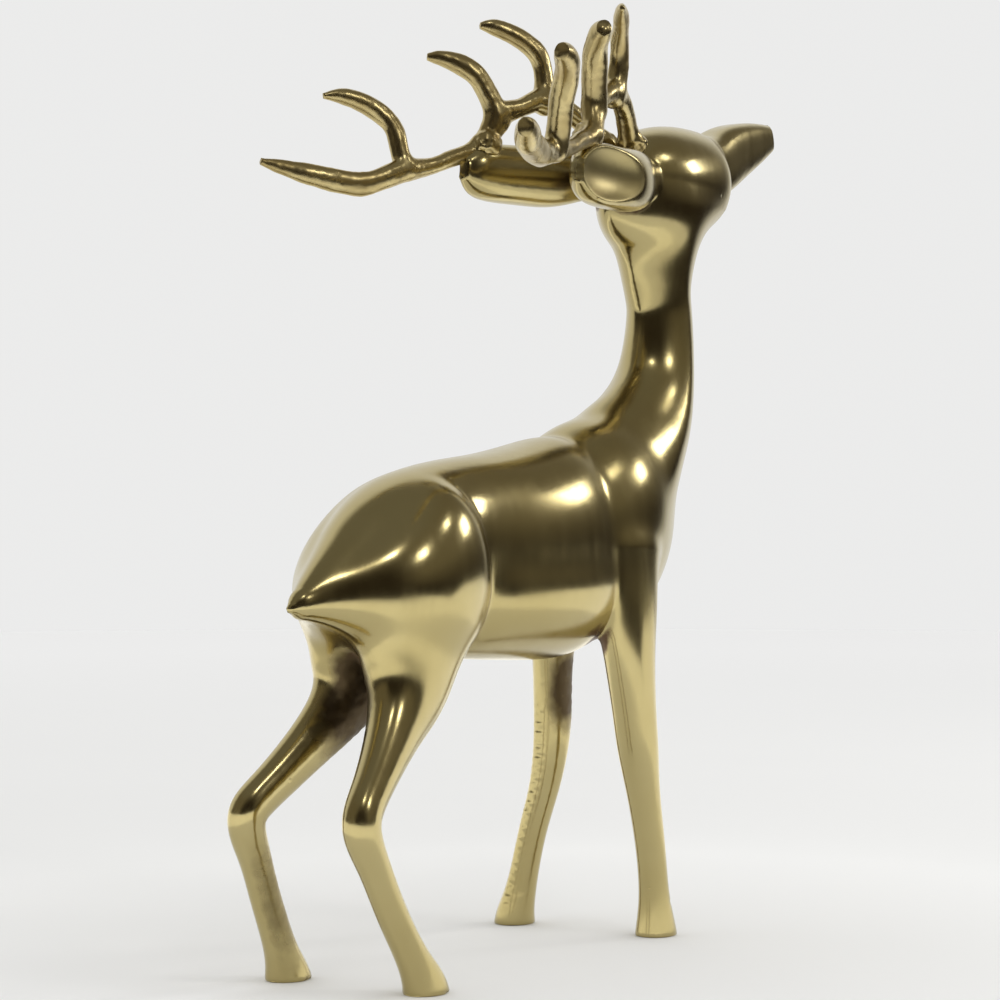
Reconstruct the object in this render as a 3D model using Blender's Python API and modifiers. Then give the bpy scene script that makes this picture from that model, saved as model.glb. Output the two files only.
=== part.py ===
"""A standing deer figurine, cast in polished brass-coloured metal.

The deer faces +X, its left side is +Y, and its soles rest on z = 0. The body, legs, neck, head
and ears are one casting. Each antler is a casting of its own, brazed to the skull.

Free forms are written in grains. A grain is one 416th of the figure's height, which is one
millimetre at the real size. Station 0, 0, 0 lies a little off the middle of the figure's box, and
a little under the soles.
"""
import math

import bmesh
import bpy
from mathutils import Vector

# Driving sizes, in metres
FIGURE_HEIGHT = 0.416
BRAZE_GAP = 0.0004
GRAINS_PER_HEIGHT = 416.0
GRAIN = FIGURE_HEIGHT / GRAINS_PER_HEIGHT
SOLE_LEVEL = 1.5
BOX_MIDDLE = -1.9

# Fineness of the cast surface
RING_SIDES = 20
RINGS_PER_SPAN = 4
BODY_VOXEL = 1.8 * GRAIN
ANTLER_VOXEL = 1.1 * GRAIN
BODY_KEEP = 0.045
ANTLER_KEEP = 0.065
SMOOTH_FACTOR = 0.5
BODY_SOFTENING = 5.4 * GRAIN
ANTLER_SOFTENING = 3.3 * GRAIN
THINNEST = 0.5 * GRAIN

# How far each leg runs on below its last station, for the ground to cut
FOOT_DEPTH = 7.0

# The two sides: a station's y is multiplied by its side
LEFT = 1
RIGHT = -1

# A station is x, y, z of the middle of a section, then its half width and its half height
TORSO = (
    (-203, 0, 155.0, 1.2, 1.2),
    (-192, 0, 158.0, 4.5, 6.0),
    (-179, 0, 162.0, 9.5, 12.5),
    (-163, 0, 166.5, 16.0, 20.5),
    (-146, 0, 171.0, 22.0, 28.5),
    (-125, 0, 173.7, 27.5, 35.5),
    (-98, 0, 174.0, 27.8, 40.5),
    (-68, 0, 174.0, 32.2, 43.5),
    (-38, 0, 175.0, 34.8, 46.5),
    (-12, 0, 177.0, 33.4, 48.5),
    (8, 0, 180.0, 27.0, 45.5),
    (24, 0, 184.0, 19.0, 36.0),
    (36, 0, 188.0, 8.0, 20.0),
)
BELLY = (
    (-112, 0, 160.0, 10.0, 14.0),
    (-99, 0, 159.0, 25.6, 24.5),
    (-70, 0, 158.0, 33.2, 27.5),
    (-40, 0, 158.0, 36.2, 29.0),
    (-14, 0, 158.5, 34.6, 29.5),
    (6, 0, 160.0, 27.0, 24.5),
    (18, 0, 162.0, 12.0, 14.0),
)
CHEST = (
    (-14, 0, 172.0, 10.0, 18.0),
    (-6, 0, 174.0, 20.5, 33.0),
    (8, 0, 178.0, 29.0, 45.0),
    (22, 0, 183.0, 32.0, 49.0),
    (38, 0, 189.0, 30.5, 47.0),
    (56, 0, 197.0, 25.0, 40.0),
    (69, 0, 204.0, 17.0, 28.0),
    (77, 0, 209.0, 7.0, 12.0),
)
SHOULDER = (
    (-30, 0, 176.0, 6.0, 10.0),
    (-21, 0, 178.0, 18.0, 23.0),
    (-6, 0, 182.0, 30.5, 34.5),
    (12, 0, 188.0, 34.0, 37.5),
    (32, 0, 198.0, 32.5, 37.0),
    (50, 0, 210.0, 26.5, 32.5),
    (64, 0, 222.0, 20.0, 26.0),
    (72, 0, 229.0, 9.0, 12.0),
)
NECK = (
    (26, 0, 188.0, 24.0, 32.0),
    (53, 0, 211.0, 27.0, 33.0),
    (75, 0, 233.0, 24.0, 27.5),
    (88, 0, 257.0, 19.0, 21.5),
    (91.5, 0, 281.0, 15.8, 20.5),
    (90.5, 0, 293.0, 15.0, 21.5),
    (89, 0, 305.0, 16.0, 25.5),
    (88, 0, 319.0, 18.6, 32.5),
    (86, 0, 333.0, 21.5, 43.0),
    (86, 0, 346.0, 18.0, 38.0),
)
SKULL = (
    (50, 0, 350.0, 7.0, 8.0),
    (60, 0, 350.0, 13.5, 15.5),
    (75, 0, 349.0, 18.5, 21.5),
    (95, 0, 349.0, 20.5, 25.0),
    (112, 0, 350.0, 20.5, 25.0),
    (126, 0, 351.5, 18.8, 23.0),
    (134, 0, 353.0, 15.0, 18.5),
    (138, 0, 354.0, 8.0, 10.5),
)
MUZZLE = (
    (112, 0, 353.0, 14.0, 17.0),
    (138, 0, 359.0, 12.5, 15.0),
    (157, 0, 366.5, 10.5, 14.5),
    (181, 0, 374.0, 8.0, 11.0),
    (197, 0, 378.3, 6.2, 7.4),
)
EAR = {
    LEFT: (
        (62, 11.0, 347.0, 6.0, 8.0),
        (46, 16.0, 346.5, 7.2, 10.5),
        (28, 21.5, 345.5, 9.3, 13.4),
        (8, 25.5, 345.0, 9.8, 13.6),
        (-12, 28.0, 344.5, 9.4, 13.0),
        (-25, 29.5, 344.5, 7.4, 10.8),
        (-32, 30.0, 345.0, 3.5, 5.5),
    ),
    RIGHT: (
        (62, 11.0, 346.0, 6.0, 8.0),
        (46, 16.0, 344.0, 8.0, 11.5),
        (28, 21.5, 341.5, 10.2, 15.0),
        (8, 25.5, 339.8, 11.2, 16.0),
        (-12, 28.0, 339.3, 10.8, 15.8),
        (-25, 29.5, 339.5, 8.4, 13.0),
        (-32, 30.0, 340.0, 3.8, 7.0),
    ),
}
HAUNCH = (
    (-194, 1.0, 156.5, 3.5, 4.5),
    (-179, 4.5, 158.5, 9.5, 12.0),
    (-158, 9.0, 161.0, 19.0, 23.0),
    (-137, 11.5, 165.5, 24.0, 31.5),
    (-117, 12.0, 171.0, 22.5, 35.0),
    (-106, 10.5, 174.0, 17.5, 28.0),
    (-101, 9.5, 175.0, 8.0, 14.0),
)
HIND_LEG = {
    LEFT: (
        (-131, 14.0, 152, 16.0, 28.0),
        (-138, 15.5, 127, 13.5, 22.5),
        (-150, 18.5, 108, 10.0, 13.5),
        (-180, 25.0, 84, 7.6, 9.0),
        (-193, 28.0, 71, 7.3, 8.6),
        (-186, 29.5, 55, 6.3, 7.2),
        (-177, 31.0, 38, 6.0, 6.8),
        (-166, 32.5, 18, 6.4, 7.2),
        (-160, 33.5, 7, 8.0, 9.4),
        (-158, 33.5, 1.2, 9.0, 11.0),
    ),
    RIGHT: (
        (-133, 14.0, 152, 16.0, 28.0),
        (-143, 15.0, 126, 14.0, 25.0),
        (-156, 18.5, 108, 10.8, 15.0),
        (-181, 25.0, 86, 7.8, 9.2),
        (-193, 28.0, 71, 7.3, 8.6),
        (-187, 29.5, 55, 6.3, 7.2),
        (-177, 31.0, 36, 6.0, 6.8),
        (-165, 32.0, 18, 6.4, 7.2),
        (-158, 32.8, 7, 8.0, 9.4),
        (-156, 33.0, 1.2, 9.0, 11.0),
    ),
}
FRONT_LEG = {
    LEFT: (
        (20, 14.0, 174, 14.0, 21.0),
        (25, 17.0, 150, 11.5, 15.0),
        (27, 19.5, 128, 9.2, 10.8),
        (29, 21.0, 104, 8.6, 9.4),
        (29, 21.8, 86, 8.2, 8.5),
        (28, 24.8, 66, 7.0, 7.4),
        (27, 30.5, 45, 6.4, 6.9),
        (27, 36.0, 22, 6.7, 7.3),
        (27, 39.5, 8, 8.3, 9.3),
        (28, 41.0, 1.2, 9.3, 10.8),
    ),
    RIGHT: (
        (14, 23.5, 174, 14.0, 23.0),
        (12.5, 27.5, 150, 12.0, 19.0),
        (11.5, 30.0, 128, 10.6, 14.0),
        (13.5, 31.2, 104, 9.6, 10.8),
        (16, 31.8, 86, 9.0, 9.6),
        (20, 32.3, 66, 7.4, 8.0),
        (25, 32.8, 43, 6.6, 7.2),
        (28, 33.0, 22, 6.7, 7.3),
        (29.5, 33.0, 8, 8.3, 9.3),
        (30, 33.0, 1.2, 9.3, 10.8),
    ),
}

# The antlers, as on the left side. The right one is mirrored and tipped up a little at the back.
BEAM_INNER = (
    (58, 5.8, 356.0, 5.0, 5.0),
    (52, 7.0, 362.0, 5.0, 5.4),
    (37, 12.5, 373.0, 4.4, 5.0),
    (18, 18.3, 380.0, 4.4, 5.2),
    (2, 21.5, 375.0, 3.8, 4.4),
    (-12, 25.0, 369.0, 4.4, 5.6),
    (-18, 28.5, 357.0, 4.4, 5.2),
    (-34, 32.0, 350.0, 3.4, 4.0),
    (-51, 36.0, 344.5, 3.2, 3.8),
    (-66, 38.5, 341.5, 3.6, 5.0),
)
BEAM_OUTER = {
    LEFT: (
        (-80, 41.5, 336.5, 3.5, 5.0),
        (-92, 46.5, 333.8, 3.2, 5.2),
        (-109, 54.0, 335.8, 2.8, 4.8),
        (-123, 61.5, 338.8, 2.2, 3.6),
        (-132, 67.0, 341.0, 1.2, 1.4),
    ),
    RIGHT: (
        (-80, 42.0, 338.5, 4.4, 5.6),
        (-94, 47.5, 337.0, 5.0, 6.4),
        (-110, 54.0, 337.5, 5.4, 6.8),
        (-123, 60.5, 339.0, 5.4, 6.8),
        (-132, 65.5, 340.5, 3.4, 4.2),
    ),
}
FRONT_TINE = (
    (17, 18.0, 377.0, 4.6, 4.8),
    (19, 19.5, 391.0, 4.2, 5.0),
    (16, 21.5, 401.0, 4.0, 5.2),
    (8, 26.5, 408.0, 3.6, 4.8),
    (-2, 32.5, 411.5, 2.8, 3.8),
    (-8, 36.5, 412.0, 1.4, 1.6),
)
MIDDLE_TINE = {
    LEFT: (
        (-11, 25.0, 367.0, 4.6, 5.4),
        (-16, 27.5, 380.0, 4.2, 5.4),
        (-23, 32.0, 389.5, 3.9, 5.2),
        (-31, 39.5, 394.0, 3.2, 4.2),
        (-37, 46.0, 395.0, 1.4, 1.6),
    ),
    RIGHT: (
        (-11, 25.0, 367.0, 5.4, 6.0),
        (-16, 27.5, 380.0, 5.6, 6.2),
        (-22, 31.5, 390.5, 5.4, 6.2),
        (-28.5, 37.5, 396.5, 5.0, 5.8),
        (-33, 42.0, 398.5, 3.4, 4.0),
    ),
}
REAR_TINE = {
    LEFT: (
        (-65, 38.5, 342.0, 3.8, 4.8),
        (-67, 41.0, 352.0, 3.8, 4.8),
        (-68, 43.5, 361.0, 3.7, 4.7),
        (-75, 49.0, 368.0, 3.5, 4.5),
        (-87, 55.0, 372.3, 3.0, 3.8),
        (-97, 59.5, 372.0, 1.3, 1.5),
    ),
    RIGHT: (
        (-65, 38.5, 342.0, 4.8, 5.4),
        (-67, 41.5, 352.5, 5.2, 5.8),
        (-71, 45.0, 363.0, 5.4, 6.0),
        (-76, 50.0, 371.5, 5.4, 6.0),
        (-85, 55.0, 376.5, 5.0, 5.6),
        (-93, 58.0, 377.5, 3.2, 3.8),
    ),
}

# Balls stretched to half sizes: the braze lumps of each antler, and the hollow of each ear
COLLAR = (52.5, 7.5, 362.0)
COLLAR_SIZES = (7.2, 7.0, 4.6)
BRAZE_LUMP = (-19.0, 26.0, 356.0)
BRAZE_LUMP_SIZES = (6.6, 6.6, 6.6)
EAR_BOWL = {
    LEFT: (-12.0, 45.5, 344.0),
    RIGHT: (-12.0, 45.5, 339.0),
}
EAR_BOWL_SIZES = (35.0, 16.0, 17.5)
RIGHT_ANTLER_TIP_UP = math.radians(2.0)

# How square a section is: 2 is an ellipse, higher numbers have flatter sides, and lower ones ridges
ROUND_SECTION = 2.0
TORSO_SECTION = 2.15
NECK_SECTION = 1.62
MUZZLE_SECTION = 3.4
EAR_SECTION = 2.3

BRASS = (0.66, 0.53, 0.27, 1.0)
BRASS_ROUGHNESS = 0.16
ANTLER_ROUGHNESS = 0.28


def place(row):
    """The point of a station, in metres above the soles."""
    return Vector((row[0] - BOX_MIDDLE, row[1], row[2] - SOLE_LEVEL)) * GRAIN


def clear_scene():
    """Take away whatever the file opened with."""
    for item in list(bpy.data.objects):
        bpy.data.objects.remove(item, do_unlink=True)


def new_collection(name):
    """A collection under the scene's own."""
    collection = bpy.data.collections.new(name)
    bpy.context.scene.collection.children.link(collection)
    return collection


def metal(name, roughness):
    """A plain metal in the casting's colour."""
    material = bpy.data.materials.new(name)
    material.use_nodes = True
    shader = material.node_tree.nodes["Principled BSDF"]
    shader.inputs["Base Color"].default_value = BRASS
    shader.inputs["Metallic"].default_value = 1.0
    shader.inputs["Roughness"].default_value = roughness
    return material


def between(values, span, share):
    """A smooth curve through the values: the point at a share of the way along one span.

    It is Hermite's cubic. Its slope at each value is half the step from the one before to the one
    after.
    """
    before = values[max(span - 1, 0)]
    start = values[span]
    end = values[span + 1]
    after = values[min(span + 2, len(values) - 1)]
    left = 1 - share
    stay = left * left * (1 + 2 * share)
    go = share * share * (1 + 2 * left)
    leave = left * left * share / 2
    arrive = -share * share * left / 2
    point = []
    for a, b, c, d in zip(before, start, end, after):
        point.append(stay * b + go * c + leave * (c - a) + arrive * (d - b))
    return point


def dense(stations):
    """The stations with more of them between, on a smooth curve."""
    rows = []
    for span in range(len(stations) - 1):
        for step in range(RINGS_PER_SPAN):
            rows.append(between(stations, span, step / RINGS_PER_SPAN))
    rows.append(list(stations[-1]))
    return rows


def section_ring(mesh, middle, across, upright, half_width, half_height, power):
    """One ring of the loft, on the plane of the two given directions."""
    ring = []
    for side in range(RING_SIDES):
        turn = math.tau * side / RING_SIDES
        cosine = math.cos(turn)
        sine = math.sin(turn)
        wide = math.copysign(abs(cosine) ** (2 / power), cosine) * half_width
        high = math.copysign(abs(sine) ** (2 / power), sine) * half_height
        ring.append(mesh.verts.new(middle + across * wide + upright * high))
    return ring


def add_loft(mesh, stations, power=ROUND_SECTION):
    """A closed form carried through the stations, square to its own path."""
    rows = dense(stations)
    middles = [place(row) for row in rows]
    rings = []
    for count, row in enumerate(rows):
        ahead = middles[min(count + 1, len(rows) - 1)]
        behind = middles[max(count - 1, 0)]
        along = (ahead - behind).normalized()
        across = Vector((0, 1, 0))
        across = (across - along * across.dot(along)).normalized()
        upright = along.cross(across)
        half_width = max(row[3] * GRAIN, THINNEST)
        half_height = max(row[4] * GRAIN, THINNEST)
        rings.append(section_ring(mesh, middles[count], across, upright, half_width, half_height, power))
    for near, far in zip(rings, rings[1:]):
        for side in range(RING_SIDES):
            following = (side + 1) % RING_SIDES
            mesh.faces.new((near[side], near[following], far[following], far[side]))
    mesh.faces.new(list(reversed(rings[0])))
    mesh.faces.new(rings[-1])


def add_ball(mesh, middle, half_sizes, side):
    """A ball stretched to its half sizes, on one side."""
    made = bmesh.ops.create_uvsphere(mesh, u_segments=RING_SIDES, v_segments=RING_SIDES // 2, radius=1)
    bmesh.ops.scale(mesh, verts=made["verts"], vec=Vector(half_sizes) * GRAIN)
    bmesh.ops.translate(mesh, verts=made["verts"], vec=place((middle[0], middle[1] * side, middle[2])))


def mirrored(stations, side):
    """The stations on the left side, or their mirror image on the right."""
    return [(row[0], row[1] * side) + tuple(row[2:]) for row in stations]


def with_foot(stations):
    """A leg's stations, and one more below the last."""
    x, y, z, half_width, half_height = stations[-1]
    return list(stations) + [(x, y, z - FOOT_DEPTH, half_width, half_height)]


def finish_object(mesh, name, collection, material):
    """Turn the built shape into a named object with outward faces."""
    bmesh.ops.recalc_face_normals(mesh, faces=mesh.faces)
    data = bpy.data.meshes.new(name)
    mesh.to_mesh(data)
    mesh.free()
    if material:
        data.materials.append(material)
    item = bpy.data.objects.new(name, data)
    collection.objects.link(item)
    return item


def hide_cutter(item):
    """Mark an object as a tool that isn't part of the figure."""
    item.hide_render = True
    item.display_type = "WIRE"


def fuse(item, voxel, softening):
    """Melt overlapping forms into one skin and soften the joins, one round for each voxel's length."""
    remesh = item.modifiers.new("one_skin", "REMESH")
    remesh.mode = "VOXEL"
    remesh.voxel_size = voxel
    smooth = item.modifiers.new("soften", "SMOOTH")
    smooth.factor = SMOOTH_FACTOR
    smooth.iterations = round(softening / voxel)


def thin_out(item, keep):
    """Keep only as many faces as the form needs."""
    decimate = item.modifiers.new("fewer_faces", "DECIMATE")
    decimate.ratio = keep


def cut_away(item, cutter, label):
    """Take the cutter's shape out of the item."""
    cut = item.modifiers.new(label, "BOOLEAN")
    cut.operation = "DIFFERENCE"
    cut.solver = "EXACT"
    cut.object = cutter


def ground_cutter(collection):
    """A block below z = 0, twice as wide as the figure is high, which leaves the soles flat."""
    mesh = bmesh.new()
    made = bmesh.ops.create_cube(mesh, size=2 * FIGURE_HEIGHT)
    bmesh.ops.translate(mesh, verts=made["verts"], vec=Vector((0, 0, -FIGURE_HEIGHT)))
    item = finish_object(mesh, "cutter_ground", collection, None)
    hide_cutter(item)
    return item


def bowl_cutter(side, collection):
    """The rounded hollow of one ear."""
    mesh = bmesh.new()
    add_ball(mesh, EAR_BOWL[side], EAR_BOWL_SIZES, side)
    item = finish_object(mesh, "cutter_ear_" + ("left" if side == LEFT else "right"), collection, None)
    hide_cutter(item)
    return item


def deer_body(collection, cutters):
    """The casting: torso, haunches, legs, neck, head and ears."""
    mesh = bmesh.new()
    add_loft(mesh, TORSO, TORSO_SECTION)
    add_loft(mesh, BELLY)
    add_loft(mesh, CHEST)
    add_loft(mesh, SHOULDER)
    add_loft(mesh, NECK, NECK_SECTION)
    add_loft(mesh, SKULL)
    add_loft(mesh, MUZZLE, MUZZLE_SECTION)
    for side in (LEFT, RIGHT):
        add_loft(mesh, mirrored(EAR[side], side), EAR_SECTION)
        add_loft(mesh, mirrored(HAUNCH, side))
        add_loft(mesh, mirrored(with_foot(HIND_LEG[side]), side))
        add_loft(mesh, mirrored(with_foot(FRONT_LEG[side]), side))
    item = finish_object(mesh, "deer_body", collection, metal("polished_casting", BRASS_ROUGHNESS))
    fuse(item, BODY_VOXEL, BODY_SOFTENING)
    for side in (LEFT, RIGHT):
        cut_away(item, bowl_cutter(side, cutters), "ear_bowl")
    thin_out(item, BODY_KEEP)
    cut_away(item, ground_cutter(cutters), "flat_soles")
    return item


def skull_clearance(body, collection):
    """A copy of the finished casting, grown by the braze gap, that the antler feet are cut with."""
    graph = bpy.context.evaluated_depsgraph_get()
    data = bpy.data.meshes.new_from_object(body.evaluated_get(graph))
    item = bpy.data.objects.new("cutter_skull", data)
    collection.objects.link(item)
    grow = item.modifiers.new("braze_gap", "DISPLACE")
    grow.strength = BRAZE_GAP
    grow.mid_level = 0
    hide_cutter(item)
    return item


def tip_up(mesh, angle):
    """Turn the antler about its foot, so that its back end rises."""
    foot = place(COLLAR)
    foot.y = 0
    for vertex in mesh.verts:
        arm = vertex.co - foot
        vertex.co.x = foot.x + arm.x * math.cos(angle) + arm.z * math.sin(angle)
        vertex.co.z = foot.z - arm.x * math.sin(angle) + arm.z * math.cos(angle)


def antler(side, collection, clearance, material):
    """One antler: a beam with three tines, its collar and the lump that ties it to the ear."""
    mesh = bmesh.new()
    for stations in (BEAM_INNER + BEAM_OUTER[side], FRONT_TINE, MIDDLE_TINE[side], REAR_TINE[side]):
        add_loft(mesh, mirrored(stations, side))
    add_ball(mesh, COLLAR, COLLAR_SIZES, side)
    add_ball(mesh, BRAZE_LUMP, BRAZE_LUMP_SIZES, side)
    if side == RIGHT:
        tip_up(mesh, RIGHT_ANTLER_TIP_UP)
    name = "antler_left" if side == LEFT else "antler_right"
    item = finish_object(mesh, name, collection, material)
    fuse(item, ANTLER_VOXEL, ANTLER_SOFTENING)
    thin_out(item, ANTLER_KEEP)
    cut_away(item, clearance, "braze_gap")
    return item


def build():
    """Make the whole figure."""
    clear_scene()
    figure = new_collection("deer_figurine")
    cutters = new_collection("cutters")
    body = deer_body(figure, cutters)
    clearance = skull_clearance(body, cutters)
    rough_casting = metal("antler_casting", ANTLER_ROUGHNESS)
    for side in (LEFT, RIGHT):
        antler(side, figure, clearance, rough_casting)


build()
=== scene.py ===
import logging
import math
from dataclasses import dataclass, field
from enum import Enum
from typing import Callable, ClassVar, Optional, Sequence

import bpy
import numpy as np
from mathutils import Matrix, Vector


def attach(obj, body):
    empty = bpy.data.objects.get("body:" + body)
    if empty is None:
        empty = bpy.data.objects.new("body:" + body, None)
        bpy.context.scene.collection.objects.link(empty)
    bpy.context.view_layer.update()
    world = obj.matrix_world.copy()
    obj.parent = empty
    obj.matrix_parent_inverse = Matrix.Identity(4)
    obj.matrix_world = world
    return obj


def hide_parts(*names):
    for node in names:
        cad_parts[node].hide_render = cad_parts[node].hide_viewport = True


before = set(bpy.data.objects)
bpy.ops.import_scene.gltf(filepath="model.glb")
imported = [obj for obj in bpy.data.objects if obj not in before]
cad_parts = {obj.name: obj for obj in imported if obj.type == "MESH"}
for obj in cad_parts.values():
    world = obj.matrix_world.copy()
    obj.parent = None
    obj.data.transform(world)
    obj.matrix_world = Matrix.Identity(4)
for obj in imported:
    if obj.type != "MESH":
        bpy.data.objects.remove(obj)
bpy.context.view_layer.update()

log = logging.getLogger("deer_figurine")

# The free forms are written in grains, a 416th of the figure's height. The stations' own zero lies
# under the soles and in front of the middle of the figure's box, by these numbers of grains.
FIGURE_HEIGHT = 0.416
GRAINS_PER_HEIGHT = 416.0
GRAIN = FIGURE_HEIGHT / GRAINS_PER_HEIGHT
SOLE_LEVEL = 1.5
BOX_MIDDLE = -1.9

# The camera looks level along the sight, and the right of the picture lies square to it
SIGHT = np.array((0.8434, 0.5372, 0.0))
SIGHT_RIGHT = np.array((SIGHT[1], -SIGHT[0], 0.0))
UPRIGHT = np.array((0.0, 0.0, 1.0))

# Small numbers that keep sums from dividing by nought
TINY = 1e-9
LEAST_STEEPNESS = 0.05

Stations = Sequence[tuple[float, float, float, float, float]]
Field = Callable[[np.ndarray], np.ndarray]
Triple = tuple[float, float, float]
Colour = tuple[float, float, float]
Range = tuple[float, float]
Socket = bpy.types.NodeSocket


class Side(Enum):
    """The two sides of the deer."""

    LEFT = 1
    RIGHT = -1


class Join(Enum):
    """How wide a fillet joins two forms, in grains."""

    SOFT = 5.0
    FIRM = 2.6
    GROOVE = 1.7
    NARROW = 1.2
    CREASE = 0.8
    EDGE = 0.45

    @property
    def radius(self) -> float:
        """The fillet's width, in metres."""
        return self.value * GRAIN


class Mixed(Enum):
    """What a mixing node mixes: its type, the place of its first input, and of its result."""

    NUMBERS = ("FLOAT", 2, 0)
    COLOURS = ("RGBA", 6, 2)


TORSO: Stations = (
    (-203, 0, 155.0, 1.2, 1.2),
    (-192, 0, 158.0, 4.5, 6.0),
    (-179, 0, 162.0, 9.5, 12.5),
    (-163, 0, 166.5, 16.0, 20.5),
    (-146, 0, 171.0, 22.0, 28.5),
    (-125, 0, 173.7, 27.5, 35.5),
    (-98, 0, 174.0, 27.8, 40.5),
    (-68, 0, 174.0, 32.2, 43.5),
    (-38, 0, 175.0, 34.8, 46.5),
    (-12, 0, 177.0, 33.4, 48.5),
    (8, 0, 180.0, 27.0, 45.5),
    (24, 0, 184.0, 19.0, 36.0),
    (36, 0, 188.0, 8.0, 20.0),
)
BELLY: Stations = (
    (-112, 0, 160.0, 10.0, 14.0),
    (-99, 0, 159.0, 25.6, 24.5),
    (-70, 0, 158.0, 33.2, 27.5),
    (-40, 0, 158.0, 36.2, 29.0),
    (-14, 0, 158.5, 34.6, 29.5),
    (6, 0, 160.0, 27.0, 24.5),
    (18, 0, 162.0, 12.0, 14.0),
)
CHEST: Stations = (
    (-14, 0, 172.0, 10.0, 18.0),
    (-6, 0, 174.0, 20.5, 33.0),
    (8, 0, 178.0, 29.0, 45.0),
    (22, 0, 183.0, 32.0, 49.0),
    (38, 0, 189.0, 30.5, 47.0),
    (56, 0, 197.0, 25.0, 40.0),
    (69, 0, 204.0, 17.0, 28.0),
    (77, 0, 209.0, 7.0, 12.0),
)
SHOULDER: Stations = (
    (-30, 0, 176.0, 6.0, 10.0),
    (-21, 0, 178.0, 18.0, 23.0),
    (-6, 0, 182.0, 30.5, 34.5),
    (12, 0, 188.0, 34.0, 37.5),
    (32, 0, 198.0, 32.5, 37.0),
    (50, 0, 210.0, 26.5, 32.5),
    (64, 0, 222.0, 20.0, 26.0),
    (72, 0, 229.0, 9.0, 12.0),
)
NECK: Stations = (
    (26, 0, 188.0, 24.0, 32.0),
    (53, 0, 211.0, 27.0, 33.0),
    (75, 0, 233.0, 24.0, 27.5),
    (88, 0, 257.0, 19.0, 21.5),
    (91.5, 0, 281.0, 15.8, 20.5),
    (90.5, 0, 293.0, 15.0, 21.5),
    (89, 0, 305.0, 16.0, 25.5),
    (88, 0, 319.0, 18.6, 32.5),
    (86, 0, 333.0, 21.5, 43.0),
    (86, 0, 346.0, 18.0, 38.0),
)
SKULL: Stations = (
    (50, 0, 350.0, 7.0, 8.0),
    (60, 0, 350.0, 13.5, 15.5),
    (75, 0, 349.0, 18.5, 21.5),
    (95, 0, 349.0, 20.5, 25.0),
    (112, 0, 350.0, 20.5, 25.0),
    (126, 0, 351.5, 18.8, 23.0),
    (134, 0, 353.0, 15.0, 18.5),
    (138, 0, 354.0, 8.0, 10.5),
)
MUZZLE: Stations = (
    (112, 0, 353.0, 14.0, 17.0),
    (138, 0, 359.0, 12.5, 15.0),
    (157, 0, 366.5, 10.5, 14.5),
    (181, 0, 374.0, 8.0, 11.0),
    (197, 0, 378.3, 6.2, 7.4),
)
EAR: dict[Side, Stations] = {
    Side.LEFT: (
        (62, 11.0, 347.0, 6.0, 8.0),
        (46, 16.0, 346.5, 7.2, 10.5),
        (28, 21.5, 345.5, 9.3, 13.4),
        (8, 25.5, 345.0, 9.8, 13.6),
        (-12, 28.0, 344.5, 9.4, 13.0),
        (-25, 29.5, 344.5, 7.4, 10.8),
        (-32, 30.0, 345.0, 3.5, 5.5),
    ),
    Side.RIGHT: (
        (62, 11.0, 346.0, 6.0, 8.0),
        (46, 16.0, 344.2, 8.0, 11.2),
        (28, 21.5, 342.0, 10.2, 13.9),
        (8, 25.5, 340.7, 11.2, 14.2),
        (-12, 28.0, 340.6, 10.8, 14.0),
        (-25, 29.5, 340.7, 8.4, 11.7),
        (-32, 30.0, 341.0, 3.8, 6.2),
    ),
}
HAUNCH: Stations = (
    (-194, 1.0, 156.5, 3.5, 4.5),
    (-179, 4.5, 158.5, 9.5, 12.0),
    (-158, 9.0, 161.0, 19.0, 23.0),
    (-137, 11.5, 165.5, 24.0, 31.5),
    (-117, 12.0, 171.0, 22.5, 35.0),
    (-106, 10.5, 174.0, 17.5, 28.0),
    (-101, 9.5, 175.0, 8.0, 14.0),
)
HIND_LEG: dict[Side, Stations] = {
    Side.LEFT: (
        (-131, 14.0, 152, 16.0, 28.0),
        (-138, 15.5, 127, 13.5, 22.5),
        (-150, 18.5, 108, 10.0, 13.5),
        (-180, 25.0, 84, 7.6, 9.0),
        (-193, 28.0, 71, 7.3, 8.6),
        (-186, 29.5, 55, 6.3, 7.2),
        (-177, 31.0, 38, 6.0, 6.8),
        (-166, 32.5, 18, 6.4, 7.2),
        (-160, 33.5, 7, 8.0, 9.4),
        (-158, 33.5, 1.2, 9.0, 11.0),
    ),
    Side.RIGHT: (
        (-133, 14.0, 152, 16.0, 28.0),
        (-143, 15.0, 126, 14.0, 25.0),
        (-156, 18.5, 108, 10.8, 15.0),
        (-181, 25.0, 86, 7.8, 9.2),
        (-193, 28.0, 71, 7.3, 8.6),
        (-187, 29.5, 55, 6.3, 7.2),
        (-177, 31.0, 36, 6.0, 6.8),
        (-165, 32.0, 18, 6.4, 7.2),
        (-158, 32.8, 7, 8.0, 9.4),
        (-156, 33.0, 1.2, 9.0, 11.0),
    ),
}
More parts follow.
